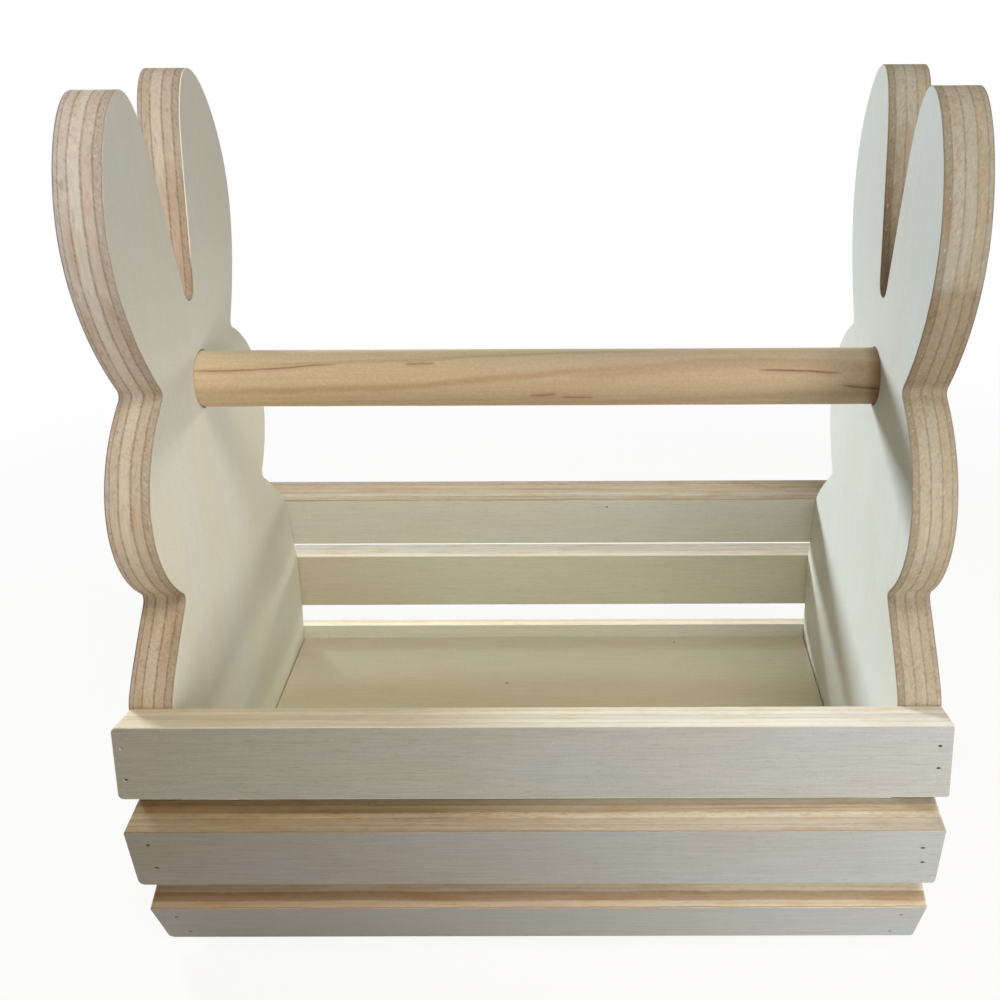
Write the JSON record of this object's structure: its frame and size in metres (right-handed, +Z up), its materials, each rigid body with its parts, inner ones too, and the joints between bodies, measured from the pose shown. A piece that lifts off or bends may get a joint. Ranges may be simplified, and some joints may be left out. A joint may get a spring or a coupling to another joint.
{
  "type": "wooden caddy",
  "caption": "Open slatted plywood caddy with rabbit-shaped end panels, a round handle rail between them, side slats and a floor board, for carrying small things on a table or shelf.",
  "frame": {"origin": "middle of the footprint, on the plane that both end panels stand on", "axes": "+X along the handle, to the right seen from the front, +Y to the rear, +Z up to the ear tips"},
  "size_m": [0.266, 0.1952, 0.2843],
  "materials": {
    "panel_ply": "unfinished, sanded face veneer with open ply edges",
    "slat_ply": "unfinished, sanded face veneer with open ply edges",
    "floor_ply": "unfinished, sanded face veneer",
    "handle_wood": "unfinished, turned and sanded",
    "brad_steel": "bright wire, dulled"
  },
  "bodies": {
    "root": {"end_panel_left": "panel_ply", "end_panel_right": "panel_ply", "handle_dowel": "handle_wood", "floor_board": "floor_ply", "front_slat_top": "slat_ply", "front_slat_middle": "slat_ply", "front_slat_bottom": "slat_ply", "rear_slat_top": "slat_ply", "rear_slat_middle": "slat_ply", "rear_slat_bottom": "slat_ply", "front_slat_top_brad_left_upper": "brad_steel", "front_slat_top_brad_left_lower": "brad_steel", "front_slat_top_brad_right_upper": "brad_steel", "front_slat_top_brad_right_lower": "brad_steel", "front_slat_middle_brad_left_upper": "brad_steel", "front_slat_middle_brad_left_lower": "brad_steel", "front_slat_middle_brad_right_upper": "brad_steel", "front_slat_middle_brad_right_lower": "brad_steel", "front_slat_bottom_brad_left_upper": "brad_steel", "front_slat_bottom_brad_left_lower": "brad_steel", "front_slat_bottom_brad_right_upper": "brad_steel", "front_slat_bottom_brad_right_lower": "brad_steel", "rear_slat_top_brad_left_upper": "brad_steel", "rear_slat_top_brad_left_lower": "brad_steel", "rear_slat_top_brad_right_upper": "brad_steel", "rear_slat_top_brad_right_lower": "brad_steel", "rear_slat_middle_brad_left_upper": "brad_steel", "rear_slat_middle_brad_left_lower": "brad_steel", "rear_slat_middle_brad_right_upper": "brad_steel", "rear_slat_middle_brad_right_lower": "brad_steel", "rear_slat_bottom_brad_left_upper": "brad_steel", "rear_slat_bottom_brad_left_lower": "brad_steel", "rear_slat_bottom_brad_right_upper": "brad_steel", "rear_slat_bottom_brad_right_lower": "brad_steel", "floor_brad_left_front": "brad_steel", "floor_brad_left_middle": "brad_steel", "floor_brad_left_rear": "brad_steel", "floor_brad_right_front": "brad_steel", "floor_brad_right_middle": "brad_steel", "floor_brad_right_rear": "brad_steel", "handle_brad_left": "brad_steel", "handle_brad_right": "brad_steel"}
  },
  "joints": []
}
